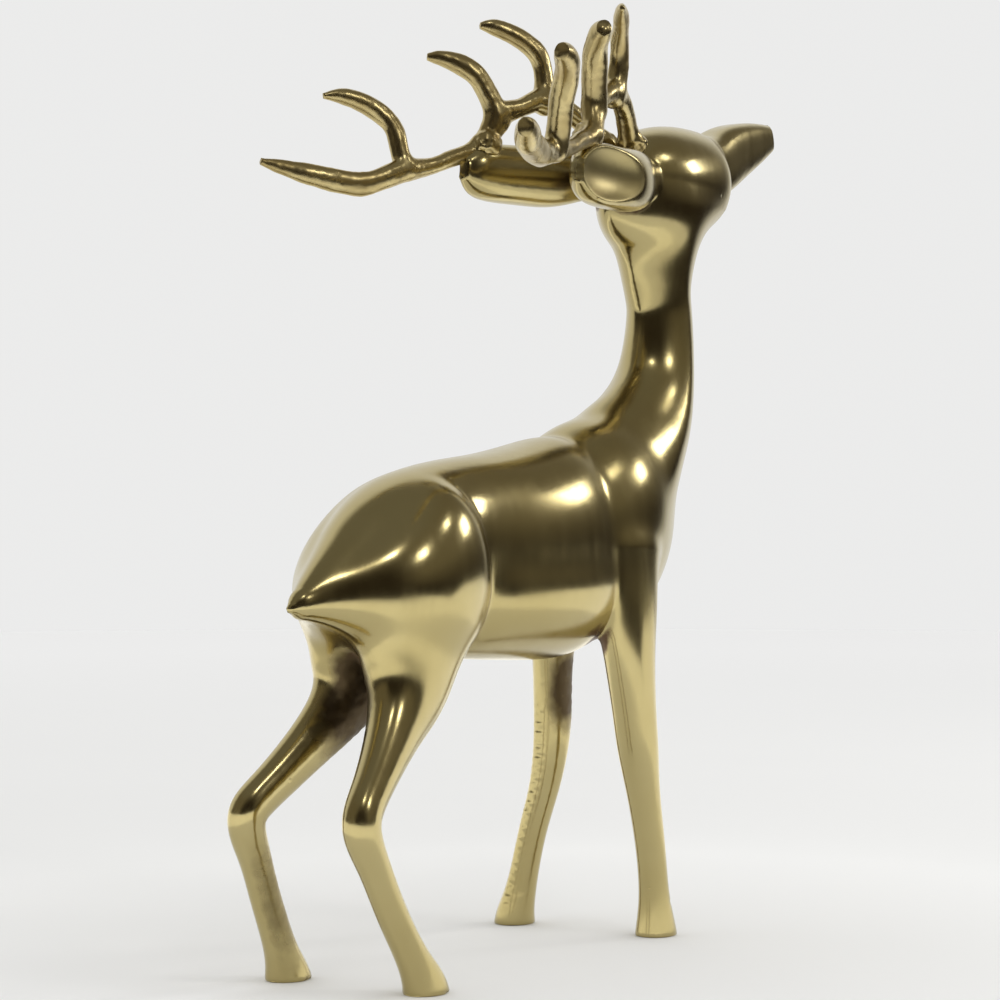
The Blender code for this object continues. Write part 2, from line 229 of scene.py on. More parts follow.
FRONT_LEG: dict[Side, Stations] = {
    Side.LEFT: (
        (20, 14.0, 174, 14.0, 21.0),
        (25, 17.0, 150, 11.5, 15.0),
        (27, 19.5, 128, 9.2, 10.8),
        (29, 21.0, 104, 8.6, 9.4),
        (29, 21.8, 86, 8.2, 8.5),
        (28, 24.8, 66, 7.0, 7.4),
        (27, 30.5, 45, 6.4, 6.9),
        (27, 36.0, 22, 6.7, 7.3),
        (27, 39.5, 8, 8.3, 9.3),
        (28, 41.0, 1.2, 9.3, 10.8),
    ),
    Side.RIGHT: (
        (14, 23.5, 174, 14.0, 23.0),
        (12.5, 27.5, 150, 12.0, 19.0),
        (11.5, 30.0, 128, 10.6, 14.0),
        (13.5, 31.2, 104, 9.6, 10.8),
        (16, 31.8, 86, 9.0, 9.6),
        (20, 32.3, 66, 7.4, 8.0),
        (25, 32.8, 43, 6.6, 7.2),
        (28, 33.0, 22, 6.7, 7.3),
        (29.5, 33.0, 8, 8.3, 9.3),
        (30, 33.0, 1.2, 9.3, 10.8),
    ),
}
BEAM_INNER: Stations = (
    (58, 5.8, 356.0, 5.0, 5.0),
    (52, 7.0, 362.0, 5.0, 5.4),
    (37, 12.5, 373.0, 4.4, 5.0),
    (18, 18.3, 380.0, 4.4, 5.2),
    (2, 21.5, 375.0, 3.8, 4.4),
    (-12, 25.0, 369.0, 4.4, 5.6),
    (-18, 28.5, 357.0, 4.4, 5.2),
    (-34, 32.0, 350.0, 3.4, 4.0),
    (-51, 36.0, 344.5, 3.2, 3.8),
    (-66, 38.5, 341.5, 3.6, 5.0),
)
BEAM_OUTER: dict[Side, Stations] = {
    Side.LEFT: (
        (-80, 41.5, 336.5, 3.5, 5.0),
        (-92, 46.5, 333.8, 3.2, 5.2),
        (-109, 54.0, 335.8, 2.8, 4.8),
        (-123, 61.5, 338.8, 2.2, 3.6),
        (-132, 67.0, 341.0, 1.2, 1.4),
    ),
    Side.RIGHT: (
        (-80, 42.0, 338.5, 4.4, 5.6),
        (-94, 47.5, 337.0, 5.0, 6.4),
        (-110, 54.0, 337.5, 5.4, 6.8),
        (-123, 60.5, 339.0, 5.4, 6.8),
        (-132, 65.5, 340.5, 3.4, 4.2),
    ),
}
FRONT_TINE: Stations = (
    (17, 18.0, 377.0, 4.6, 4.8),
    (19, 19.5, 391.0, 4.2, 5.0),
    (16, 21.5, 401.0, 4.0, 5.2),
    (8, 26.5, 408.0, 3.6, 4.8),
    (-2, 32.5, 411.5, 2.8, 3.8),
    (-8, 36.5, 412.0, 1.4, 1.6),
)
MIDDLE_TINE: dict[Side, Stations] = {
    Side.LEFT: (
        (-11, 25.0, 367.0, 4.6, 5.4),
        (-16, 27.5, 380.0, 4.2, 5.4),
        (-23, 32.0, 389.5, 3.9, 5.2),
        (-31, 39.5, 394.0, 3.2, 4.2),
        (-37, 46.0, 395.0, 1.4, 1.6),
    ),
    Side.RIGHT: (
        (-11, 25.0, 367.0, 5.4, 6.0),
        (-16, 27.5, 380.0, 5.6, 6.2),
        (-22, 31.5, 390.5, 5.4, 6.2),
        (-28.5, 37.5, 396.5, 5.0, 5.8),
        (-33, 42.0, 398.5, 3.4, 4.0),
    ),
}
REAR_TINE: dict[Side, Stations] = {
    Side.LEFT: (
        (-65, 38.5, 342.0, 3.8, 4.8),
        (-67, 41.0, 352.0, 3.8, 4.8),
        (-68, 43.5, 361.0, 3.7, 4.7),
        (-75, 49.0, 368.0, 3.5, 4.5),
        (-87, 55.0, 372.3, 3.0, 3.8),
        (-97, 59.5, 372.0, 1.3, 1.5),
    ),
    Side.RIGHT: (
        (-65, 38.5, 342.0, 4.8, 5.4),
        (-67, 41.5, 352.5, 5.2, 5.8),
        (-71, 45.0, 363.0, 5.4, 6.0),
        (-76, 50.0, 371.5, 5.4, 6.0),
        (-85, 55.0, 376.5, 5.0, 5.6),
        (-93, 58.0, 377.5, 3.2, 3.8),
    ),
}


def to_frame(points: np.ndarray, side: Optional[Side] = None) -> np.ndarray:
    """Move points from the stations' own zero to the frame.

    Args:
        points: Rows of x, y and z in grains, on the left side or in the middle.
        side: The right side mirrors them.

    Returns:
        Rows of x, y and z in metres: the grains, less the offset of the zero, times the grain.
    """
    mirror = np.array((1.0, -1.0 if side is Side.RIGHT else 1.0, 1.0))
    return (points * mirror - np.array((BOX_MIDDLE, 0.0, SOLE_LEVEL))) * GRAIN


def ramp(values: np.ndarray, start: float, end: float) -> np.ndarray:
    """Climb evenly from nought at the start to one at the end, and stay level beyond both.

    Args:
        values: What is measured.
        start: Where the climb starts. It may lie above the end.
        end: Where the climb ends.

    Returns:
        The share climbed, from nought to one.
    """
    return np.clip((values - start) / (end - start), 0.0, 1.0)


def smooth_min(fields: Sequence[np.ndarray], radius: float) -> np.ndarray:
    """Join distances with a fillet: minus the radius times the log of the summed exponentials.

    Args:
        fields: Distances to several forms at the same points.
        radius: The fillet's width, in metres.

    Returns:
        The joined distance.
    """
    stack = np.stack(fields)
    lowest = stack.min(axis=0)
    return lowest - radius * np.log(np.exp((lowest - stack) / radius).sum(axis=0))


def smooth_max(first: np.ndarray, second: np.ndarray, radius: float) -> np.ndarray:
    """Cut one form by another with a rounded edge, the mirror image of a smooth minimum."""
    return -smooth_min((-first, -second), radius)


def joined(points: np.ndarray, forms: Sequence, join: Join) -> np.ndarray:
    """The distance to several forms that melt into each other by one kind of join."""
    return smooth_min([form.distance(points) for form in forms], join.radius)


@dataclass
class Spline:
    """A natural cubic through rows of values, one unit of its own measure apart."""

    rows: np.ndarray
    bend: np.ndarray = field(init=False)

    def __post_init__(self) -> None:
        """Solve for the second derivatives, which are nought at both ends."""
        count = len(self.rows)
        matrix = np.eye(count)
        target = np.zeros_like(self.rows)
        for row in range(1, count - 1):
            matrix[row, row - 1:row + 2] = (1.0, 4.0, 1.0)
            target[row] = 6.0 * (self.rows[row - 1] - 2.0 * self.rows[row] + self.rows[row + 1])
        self.bend = np.linalg.solve(matrix, target)

    @property
    def length(self) -> float:
        """The last value of the measure."""
        return float(len(self.rows) - 1)

    def at(self, measure: np.ndarray, order: int = 0) -> np.ndarray:
        """The value, slope or bend of the curve.

        Args:
            measure: Where along the curve, from nought to its length.
            order: 0 for the value, 1 for the slope, 2 for the bend.

        Returns:
            One row for each measure, from the cubic of the span that it falls in.
        """
        span = np.clip(measure.astype(int), 0, len(self.rows) - 2)
        ahead = (measure - span)[:, None]
        behind = 1.0 - ahead
        low, high = self.rows[span], self.rows[span + 1]
        low_bend, high_bend = self.bend[span], self.bend[span + 1]
        if order == 0:
            curve = (behind ** 3 - behind) * low_bend + (ahead ** 3 - ahead) * high_bend
            return behind * low + ahead * high + curve / 6.0
        if order == 1:
            curve = (1.0 - 3.0 * behind ** 2) * low_bend + (3.0 * ahead ** 2 - 1.0) * high_bend
            return high - low + curve / 6.0
        return behind * low_bend + ahead * high_bend


@dataclass
class Form:
    """One swelling form: a section of changing width and height carried along a curve."""

    stations: Stations
    side: Optional[Side] = None
    squareness: float = 2.0
    samples_per_span: int = 4
    first_rounds: int = 4
    least_turn: float = 0.3
    thinnest: float = 0.2 * GRAIN
    thinnest_loft: float = 0.5 * GRAIN
    path: Spline = field(init=False)
    girth: Spline = field(init=False)
    footing: Optional[tuple[int, np.ndarray, np.ndarray]] = field(init=False, default=None)

    def __post_init__(self) -> None:
        """Turn the stations into curves, in metres and on the right side."""
        rows = np.array(self.stations, dtype=float)
        self.path = Spline(to_frame(rows[:, :3], self.side))
        self.girth = Spline(rows[:, 3:] * GRAIN)

    def tip(self, angle: float, pivot: np.ndarray) -> "Form":
        """Turn the curve about a line through the pivot along Y, so that its back end rises.

        Args:
            angle: How far, in radians.
            pivot: A point in metres.

        Returns:
            The form itself.
        """
        arm = self.path.rows - pivot
        turned = arm.copy()
        turned[:, 0] = arm[:, 0] * math.cos(angle) + arm[:, 2] * math.sin(angle)
        turned[:, 2] = arm[:, 2] * math.cos(angle) - arm[:, 0] * math.sin(angle)
        self.path = Spline(pivot + turned)
        return self

    def axes(self, measure: np.ndarray) -> tuple[np.ndarray, np.ndarray, np.ndarray]:
        """Along, across and upright directions of the section.

        Args:
            measure: Where along the curve.

        Returns:
            Three arrays of unit rows: along the curve, level and square to it, and square to both.
        """
        along = self.path.at(measure, 1)
        along /= np.linalg.norm(along, axis=1, keepdims=True)
        across = np.array((0.0, 1.0, 0.0)) - along * along[:, 1:2]
        across /= np.linalg.norm(across, axis=1, keepdims=True)
        return along, across, np.cross(along, across)

    def refine(self, points: np.ndarray, measure: np.ndarray, rounds: int) -> np.ndarray:
        """Slide measures to the curve's nearest places, by Newton's method on the squared gap.

        Args:
            points: Rows of x, y and z in metres.
            measure: A first guess for each point.
            rounds: How many steps.

        Returns:
            The better measures.
        """
        for _ in range(rounds):
            arm = self.path.at(measure) - points
            slope = self.path.at(measure, 1)
            turn = (slope ** 2).sum(axis=1)
            bend = (arm * self.path.at(measure, 2)).sum(axis=1)
            steep = np.maximum(turn + bend, self.least_turn * turn)
            measure = np.clip(measure - (arm * slope).sum(axis=1) / steep, 0.0, self.path.length)
        return measure

    def seek(self, points: np.ndarray) -> np.ndarray:
        """The measures of the curve's nearest places: the closest sample, then refined."""
        count = int(self.path.length) * self.samples_per_span + 1
        measures = np.linspace(0.0, self.path.length, count)
        samples = self.path.at(measures)
        gaps = (samples ** 2).sum(axis=1)[None, :] - 2.0 * points @ samples.T
        return self.refine(points, measures[gaps.argmin(axis=1)], self.first_rounds)

    def hold(self, points: np.ndarray, reach: float) -> None:
        """Remember which of these points come near the form, and where on it, for later calls.

        Args:
            points: The points that later calls move only a little.
            reach: How near counts, in metres.
        """
        margin = self.girth.rows.max() + reach
        rows = self.path.rows
        inside = ((points > rows.min(axis=0) - margin) & (points < rows.max(axis=0) + margin)).all(axis=1)
        chosen = np.flatnonzero(inside)
        self.footing = (len(points), chosen, self.seek(points[chosen]))

    def distance(self, points: np.ndarray) -> np.ndarray:
        """How far points lie outside the form, a metre where they are far from it.

        Args:
            points: Rows of x, y and z in metres, those held or others.

        Returns:
            Signed distances in metres, below nought inside.
        """
        if self.footing is None or self.footing[0] != len(points):
            return self.gap(points, self.seek(points))
        _, chosen, start = self.footing
        near = points[chosen]
        gaps = np.ones(len(points))
        gaps[chosen] = self.gap(near, self.refine(near, start, 1))
        return gaps

    def gap(self, points: np.ndarray, measure: np.ndarray) -> np.ndarray:
        """The section's own norm, which is one on its rim, less one, over the norm's slope.

        Args:
            points: Rows of x, y and z in metres.
            measure: Each point's nearest place on the curve.

        Returns:
            Signed distances in metres, below nought inside.
        """
        along, across, upright = self.axes(measure)
        arm = points - self.path.at(measure)
        girth = np.maximum(self.girth.at(measure), self.thinnest)
        width, height = girth[:, 0], girth[:, 1]
        depth = np.minimum(width, height)
        power = self.squareness
        ways = ((across, width), (upright, height), (along, depth))
        shares = [(np.abs((arm * way).sum(axis=1)) / size, size) for way, size in ways]
        norm = sum(share ** power for share, _ in shares) ** (1.0 / power) + TINY
        steep = sum((share ** (power - 1.0) / size) ** 2 for share, size in shares)
        return (norm - 1.0) / (np.sqrt(steep) / norm ** (power - 1.0) + TINY)

    def loft(self, sides: int = 28, rings_per_span: int = 5) -> tuple[np.ndarray, list]:
        """A rough closed skin: the section's rim, turned through a full circle, at many places.

        Args:
            sides: Points round each ring.
            rings_per_span: Rings between one station and the next.

        Returns:
            The points in metres, and the faces.
        """
        measure = np.linspace(0.0, self.path.length, int(self.path.length) * rings_per_span + 1)
        _, across, upright = self.axes(measure)
        girth = np.maximum(self.girth.at(measure), self.thinnest_loft)
        wide, high, _ = circle(sides).T
        share = 2.0 / self.squareness
        wide, high = (np.sign(part) * np.abs(part) ** share for part in (wide, high))
        rim = (
            self.path.at(measure)[:, None]
            + across[:, None] * (wide[None, :] * girth[:, :1])[..., None]
            + upright[:, None] * (high[None, :] * girth[:, 1:])[..., None]
        )
        return rim.reshape(-1, 3), ring_faces(len(measure), sides, capped=True)


@dataclass(frozen=True)
class Lump:
    """A rounded lump with its own half sizes, in grains."""

    middle: Triple
    half_sizes: Triple
    side: Optional[Side] = None

    @property
    def centre(self) -> np.ndarray:
        """The middle in metres, on the right side."""
        return to_frame(np.array(self.middle, dtype=float), self.side)

    @property
    def sizes(self) -> np.ndarray:
        """The half sizes in metres."""
        return np.array(self.half_sizes) * GRAIN

    def hold(self, points: np.ndarray, reach: float) -> None:
        """A lump is quick to measure, so it remembers nothing."""

    def share(self, points: np.ndarray) -> np.ndarray:
        """How far points lie from the middle, where one is the lump's surface."""
        return np.linalg.norm((points - self.centre) / self.sizes, axis=1)

    def distance(self, points: np.ndarray) -> np.ndarray:
        """How far points lie outside the lump: its share less one, over the share's slope."""
        share = self.share(points) + TINY
        slope = np.linalg.norm((points - self.centre) / self.sizes ** 2, axis=1) / share
        return (share - 1.0) / (slope + TINY)

    def loft(self, turns: int = 20, rows: int = 12) -> tuple[np.ndarray, list]:
        """A rough closed skin: a ball's rows and turns, stretched to the half sizes.

        Args:
            turns: Points round each row.
            rows: Rows from pole to pole.

        Returns:
            The points in metres, and the faces.
        """
        climb = np.linspace(0.0, np.pi, rows + 2)[1:-1, None, None]
        ball = np.sin(climb) * circle(turns) - np.cos(climb) * UPRIGHT
        return self.centre + ball.reshape(-1, 3) * self.sizes, ring_faces(rows, turns, capped=True)


@dataclass(frozen=True)
class Waves:
    """Smooth even unevenness, its height and length in grains."""

    height: float
    length: float
    seed: int
    count: int = 24

    def at(self, points: np.ndarray) -> np.ndarray:
        """Sum sine waves of about one length in seeded directions, over the root of half their count.

        Args:
            points: Where, in metres.

        Returns:
            Heights in grains, mostly between minus and plus the height.
        """
        draw = np.random.default_rng(self.seed)
        ways = draw.normal(size=(self.count, 3))
        ways /= np.linalg.norm(ways, axis=1, keepdims=True)
        ways *= draw.uniform(0.7, 1.4, size=(self.count, 1))
        shift = draw.uniform(0.0, 2.0 * np.pi, size=self.count)
        phase = points @ ways.T * (2.0 * np.pi / (self.length * GRAIN)) + shift
        return self.height * np.sin(phase).sum(axis=1) / math.sqrt(self.count / 2.0)


def gradient(distance: Field, points: np.ndarray, step: float) -> np.ndarray:
    """The slope of a field: values at a small tetrahedron's corners, each times its corner, summed.

    Args:
        distance: The field.
        points: Where, in metres.
        step: Half the side of the cube that the tetrahedron fits, in metres.

    Returns:
        One row for each point.
    """
    corners = np.array(((1, -1, -1), (-1, -1, 1), (-1, 1, -1), (1, 1, 1)), dtype=float)
    values = [distance(points + corner * step) for corner in corners]
    return np.stack(values, axis=1) @ corners / (4.0 * step)


def settle(points: np.ndarray, distance: Field, rounds: int, step: float, longest: float) -> np.ndarray:
    """Move points onto the surface where the field is nought, by Newton's steps down its slope.

    Args:
        points: Points near the surface, in metres.
        distance: The field.
        rounds: How many steps.
        step: Half the gap for the slope, in metres.
        longest: The longest step, in metres.

    Returns:
        The settled points.
    """
    for _ in range(rounds):
        slope = gradient(distance, points, step)
        steep = np.maximum((slope ** 2).sum(axis=1), LEAST_STEEPNESS)
        move = -(distance(points) / steep)[:, None] * slope
        reach = np.linalg.norm(move, axis=1, keepdims=True)
        points = points + move * np.minimum(1.0, longest / np.maximum(reach, TINY))
    return points


def circle(turns: int) -> np.ndarray:
    """Points a metre from the upright axis, level with the table: cosine, sine and nought."""
    turn = np.linspace(0.0, 2.0 * np.pi, turns, endpoint=False)
    return np.stack((np.cos(turn), np.sin(turn), np.zeros(turns)), -1)


def ring_faces(rings: int, sides: int, capped: bool = False) -> list:
    """Square faces between rings of points, each ring closed on itself.

    Args:
        rings: How many rings.
        sides: Points in each ring.
        capped: Whether a face closes the first ring and another the last.

    Returns:
        A list of point numbers for each face.
    """
    ring, place = np.meshgrid(np.arange(rings - 1), np.arange(sides), indexing="ij")
    low = ring * sides
    following = (place + 1) % sides
    quads = np.stack((low + place, low + following, low + sides + following, low + sides + place), -1)
    caps = [list(range(sides))[::-1], list(range((rings - 1) * sides, rings * sides))]
    return quads.reshape(-1, 4).tolist() + (caps if capped else [])


def new_mesh(name: str, points: np.ndarray, faces: list) -> bpy.types.Mesh:
    """A mesh made of points and faces."""
    mesh = bpy.data.meshes.new(name)
    mesh.from_pydata(points.tolist(), [], faces)
    mesh.update()
    return mesh


def new_object(name: str, data: bpy.types.ID) -> bpy.types.Object:
    """An object made of a mesh, a lamp or a camera, put into the scene at the origin."""
    item = bpy.data.objects.new(name, data)
    bpy.context.scene.collection.objects.link(item)
    return item


def aim(item: bpy.types.Object, way: np.ndarray) -> None:
    """Turn a lamp or a camera so that it looks a way and stands upright."""
    item.rotation_mode = "QUATERNION"
    item.rotation_quaternion = Vector(way.tolist()).to_track_quat("-Z", "Y")


def melted(name: str, forms: Sequence, voxel: float) -> bpy.types.Mesh:
    """Melt overlapping skins into one with square faces of about one voxel.

    Args:
        name: The new mesh's name.
        forms: Forms and lumps with a loft method.
        voxel: The face size, in metres.

    Returns:
        The melted mesh.
    """
    points, faces, count = [], [], 0
    for form in forms:
        skin, sides = form.loft()
        points.append(skin)
        faces.extend([[corner + count for corner in side] for side in sides])
        count += len(skin)
    rough = new_object(name + "_rough", new_mesh(name + "_rough", np.concatenate(points), faces))
    remesh = rough.modifiers.new("melt", "REMESH")
    remesh.mode = "VOXEL"
    remesh.voxel_size = voxel
    graph = bpy.context.evaluated_depsgraph_get()
    mesh = bpy.data.meshes.new_from_object(rough.evaluated_get(graph))
    mesh.name = name
    bpy.data.objects.remove(rough, do_unlink=True)
    return mesh


def read_points(mesh: bpy.types.Mesh) -> np.ndarray:
    """A mesh's points as rows."""
    flat = np.empty(len(mesh.vertices) * 3)
    mesh.vertices.foreach_get("co", flat)
    return flat.reshape(-1, 3)


def write_points(mesh: bpy.types.Mesh, points: np.ndarray) -> None:
    """Put rows of points into a mesh."""
    mesh.vertices.foreach_set("co", points.astype(np.float32).ravel())
    mesh.update()


def write_attribute(mesh: bpy.types.Mesh, name: str, values: np.ndarray) -> None:
    """Store one number for each point, for the materials to read."""
    layer = mesh.attributes.new(name, "FLOAT", "POINT")
    layer.data.foreach_set("value", values.astype(np.float32))


@dataclass(frozen=True)
class Bearing:
    """A direction from the figure, in degrees right of the line of sight and above the table."""

    right: float
    up: float

    def way(self) -> np.ndarray:
        """The direction as a unit vector."""
        turn, climb = math.radians(self.right), math.radians(self.up)
        level = math.cos(turn) * SIGHT + math.sin(turn) * SIGHT_RIGHT
        return math.cos(climb) * level + math.sin(climb) * UPRIGHT


@dataclass(frozen=True)
class Lobe:
    """A soft round patch of directions, even up to one angle from its middle and gone at another."""

    middle: Bearing
    even: float
    gone: float

    @property
    def cosines(self) -> Range:
        """The cosines of the angle where the patch is gone and of the one where it is even."""
        return math.cos(math.radians(self.gone)), math.cos(math.radians(self.even))


@dataclass(frozen=True)
class Pattern:
    """Fractal noise: how many of its cells fit a metre, and how many finer octaves are added."""

    per_metre: float
    detail: float = 3.0


@dataclass(frozen=True)
class Relief:
    """How strongly a height bends the light, and how deep it is in metres."""

    strength: float
    depth: float


class NodeBench:
    """Short calls for building a tree of nodes."""

    def __init__(self, tree: bpy.types.NodeTree) -> None:
        """Work on a tree."""
        self.tree = tree

    def node(self, kind: str, **settings: object) -> bpy.types.Node:
        """Add a node and set its options."""
        made = self.tree.nodes.new(kind)
        for key, value in settings.items():
            setattr(made, key, value)
        return made

    def feed(self, target: Socket, value: object) -> None:
        """Give a socket what it reads.

        Args:
            target: The socket that reads.
            value: Another socket to link it to, or a number, colour or direction to set.
        """
        if isinstance(value, Socket):
            self.tree.links.new(value, target)
        elif target.type == "RGBA":
            target.default_value = (*value, 1.0)
        else:
            target.default_value = value

    def attribute(self, name: str) -> Socket:
        """A stored number of the mesh."""
        return self.node("ShaderNodeAttribute", attribute_name=name).outputs["Fac"]

    def place(self, stretch: Triple = (1.0, 1.0, 1.0)) -> Socket:
        """Object coordinates, stretched along the axes."""
        mapping = self.node("ShaderNodeMapping")
        self.feed(mapping.inputs["Scale"], stretch)
        self.feed(mapping.inputs["Vector"], self.node("ShaderNodeTexCoord").outputs["Object"])
        return mapping.outputs["Vector"]

    def noise(self, place: Socket, pattern: Pattern) -> Socket:
        """Fractal noise at a place."""
        made = self.node("ShaderNodeTexNoise")
        for name, value in (("Vector", place), ("Scale", pattern.per_metre), ("Detail", pattern.detail)):
            self.feed(made.inputs[name], value)
        return made.outputs["Fac"]

    def spread(self, value: Socket, old: Range, new: Range = (0.0, 1.0)) -> Socket:
        """Carry a value from one range to another, kept within it."""
        made = self.node("ShaderNodeMapRange", clamp=True)
        ends = zip(("From Min", "From Max", "To Min", "To Max"), (*old, *new))
        for name, end in (("Value", value), *ends):
            self.feed(made.inputs[name], end)
        return made.outputs["Result"]

    def math(self, operation: str, first: Socket, second: object) -> Socket:
        """One sum on two values."""
        made = self.node("ShaderNodeMath", operation=operation)
        self.feed(made.inputs[0], first)
        self.feed(made.inputs[1], second)
        return made.outputs[0]

    def ragged(self, value: Socket, noise: Socket, reach: float) -> Socket:
        """Add noise to a value, as far up or down as the reach, so that its border is torn."""
        return self.math("ADD", value, self.spread(noise, (0.3, 0.7), (-reach, reach)))

    def mix(self, kind: Mixed, share: Socket, first: object, second: object) -> Socket:
        """Mix two numbers or two colours.

        Args:
            kind: Which of the two.
            share: How much of the second is taken, from nought to one.
            first: A socket or a plain value.
            second: The same.

        Returns:
            The mixed value's socket.
        """
        data_type, start, result = kind.value
        made = self.node("ShaderNodeMix", data_type=data_type)
        self.feed(made.inputs["Factor"], share)
        self.feed(made.inputs[start], first)
        self.feed(made.inputs[start + 1], second)
        return made.outputs[result]

    def bump(self, height: Socket, relief: Relief, normal: Optional[Socket] = None) -> Socket:
        """Turn a height into a bent normal, on top of another where one is given."""
        made = self.node("ShaderNodeBump")
        self.feed(made.inputs["Strength"], relief.strength)
        self.feed(made.inputs["Distance"], relief.depth)
        self.feed(made.inputs["Height"], height)
        if normal is not None:
            self.feed(made.inputs["Normal"], normal)
        return made.outputs["Normal"]

    def vector(self, operation: str, first: Socket, second: Triple = (0.0, 0.0, 0.0)) -> Socket:
        """One sum on vectors that gives a number."""
        made = self.node("ShaderNodeVectorMath", operation=operation)
        self.feed(made.inputs[0], first)
        self.feed(made.inputs[1], second)
        return made.outputs["Value"]

    def lobe(self, way: Socket, lobe: Lobe) -> Socket:
        """One where the direction looked at is in the lobe, nought outside it."""
        facing = self.vector("DOT_PRODUCT", way, tuple(lobe.middle.way().tolist()))
        return self.spread(facing, lobe.cosines)

    def glow(self, colour: object) -> Socket:
        """A world of one colour."""
        made = self.node("ShaderNodeBackground")
        self.feed(made.inputs["Color"], colour)
        return made.outputs[0]


class MetalBench(NodeBench):
    """A bench that starts a material with its shader."""

    def __init__(self, name: str) -> None:
        """Start a material."""
        self.material = bpy.data.materials.new(name)
        self.material.use_nodes = True
        super().__init__(self.material.node_tree)

    def coat(self, name: str, value: object) -> None:
        """Feed one of the shader's own sockets."""
        self.feed(self.tree.nodes["Principled BSDF"].inputs[name], value)


@dataclass(frozen=True)
class PolishedCasting:
    """Brass-coloured metal, polished with a wheel, rougher where the wheel can't reach, with painted shade
    darkening its recesses.
    """

    bright: Colour = (0.490, 0.410, 0.199)
    deep: Colour = (0.455, 0.374, 0.170)
    painted_recess_shade: Colour = (0.15, 0.095, 0.055)
    raw: Colour = (0.105, 0.076, 0.042)
    polished_rough: Range = (0.17, 0.24)
    tarnished_rough: float = 0.42
    raw_rough: float = 0.46
    brushed_rough: float = 0.40
    line_rough: Range = (-0.012, 0.03)
    clouds: Pattern = Pattern(22.0, 4.0)
    shade_border: Pattern = Pattern(140.0, 5.0)
    scale_skin: Pattern = Pattern(210.0, 5.0)
    grain: Pattern = Pattern(900.0)
    line_stretch: Triple = (260.0, 260.0, 9.0)
    pits_per_metre: float = 95.0
    pit_places: Pattern = Pattern(31.0, 0.0)
    pit_share: float = 0.66
    pit_rim: float = 0.10
    cloud_range: Range = (0.35, 0.65)
    haze_range: Range = (0.4, 0.7)
    line_range: Range = (0.35, 0.75)
    recess_shade_range: Range = (0.36, 0.62)
    raw_range: Range = (0.15, 0.95)
    shade_border_reach: float = 0.12
    raw_reach: float = 0.10
    line_relief: Relief = Relief(0.05, 0.0002)
    grain_relief: Relief = Relief(0.03, 0.0002)
    pit_relief: Relief = Relief(0.35, 0.0004)

    def build(self) -> bpy.types.Material:
        """Make the material: two gold tones, faint polishing lines, a few pits, and painted shade that
        darkens the recesses.
        """
        bench = MetalBench("polished_casting")
        even = bench.place()
        cloud = bench.noise(even, self.clouds)
        lines = bench.noise(bench.place(self.line_stretch), Pattern(1.0))
        # Painted shade: the recess share, torn by noise, darkens the colour towards dark brown; the skin is
        # also made rougher there
        torn_recess = bench.ragged(bench.attribute("recess"), bench.noise(even, self.shade_border), self.shade_border_reach)
        dark = bench.spread(torn_recess, self.recess_shade_range)
        torn = bench.ragged(bench.attribute("unpolished"), bench.noise(even, self.scale_skin), self.raw_reach)
        cast = bench.spread(torn, self.raw_range)
        colour = bench.mix(Mixed.COLOURS, bench.spread(cloud, self.cloud_range), self.bright, self.deep)
        colour = bench.mix(Mixed.COLOURS, dark, colour, self.painted_recess_shade)
        bench.coat("Base Color", bench.mix(Mixed.COLOURS, cast, colour, self.raw))
        haze = bench.spread(cloud, self.haze_range, self.polished_rough)
        rough = bench.math("ADD", haze, bench.spread(lines, self.line_range, self.line_rough))
        rough = bench.mix(Mixed.NUMBERS, dark, rough, self.tarnished_rough)
        rough = bench.mix(Mixed.NUMBERS, cast, rough, self.raw_rough)
        rough = bench.mix(Mixed.NUMBERS, bench.attribute("brushed"), rough, self.brushed_rough)
        bench.coat("Roughness", rough)
        bench.coat("Metallic", 1.0)
        normal = bench.bump(lines, self.line_relief)
        normal = bench.bump(bench.noise(even, self.grain), self.grain_relief, normal)
        pits = bench.node("ShaderNodeTexVoronoi")
        bench.feed(pits.inputs["Scale"], self.pits_per_metre)
        bench.feed(pits.inputs["Vector"], even)
        rare = bench.math("GREATER_THAN", bench.noise(even, self.pit_places), self.pit_share)
        hole = bench.spread(pits.outputs["Distance"], (0.0, self.pit_rim), (-1.0, 0.0))
        bench.coat("Normal", bench.bump(bench.math("MULTIPLY", hole, rare), self.pit_relief, normal))
        return bench.material


@dataclass(frozen=True)
class AntlerCasting:
    """The same metal, left as cast and only buffed on its high places."""

    bright: Colour = (0.58, 0.48, 0.24)
    deep: Colour = (0.46, 0.36, 0.16)
    antler_recess_shade: Colour = (0.17, 0.11, 0.05)
    rough: Range = (0.22, 0.34)
    clouds: Pattern = Pattern(60.0, 4.0)
    grain: Pattern = Pattern(420.0, 4.0)
    lumps: Pattern = Pattern(150.0)
    cloud_range: Range = (0.35, 0.65)
    rough_range: Range = (0.3, 0.7)
    antler_shade_range: Range = (0.34, 0.75)
    most_antler_shade: float = 0.85
    antler_shade_reach: float = 0.15
    lump_relief: Relief = Relief(0.10, 0.0005)
    grain_relief: Relief = Relief(0.16, 0.0002)

    def build(self) -> bpy.types.Material:
        """Make the material: buffed gold over a grainy cast skin, with painted shade in the hollows."""
        bench = MetalBench("antler_casting")
        even = bench.place()
        cloud = bench.noise(even, self.clouds)
        grain = bench.noise(even, self.grain)
        # Painted shade: the recess share, torn by grain noise, darkens the hollows towards dark brown
        hollow = bench.ragged(bench.attribute("recess"), grain, self.antler_shade_reach)
        dark = bench.spread(hollow, self.antler_shade_range, (0.0, self.most_antler_shade))
        colour = bench.mix(Mixed.COLOURS, bench.spread(cloud, self.cloud_range), self.bright, self.deep)
        bench.coat("Base Color", bench.mix(Mixed.COLOURS, dark, colour, self.antler_recess_shade))
        bench.coat("Roughness", bench.spread(cloud, self.rough_range, self.rough))
        bench.coat("Metallic", 1.0)
        normal = bench.bump(bench.noise(even, self.lumps), self.lump_relief)
        bench.coat("Normal", bench.bump(grain, self.grain_relief, normal))
        return bench.material


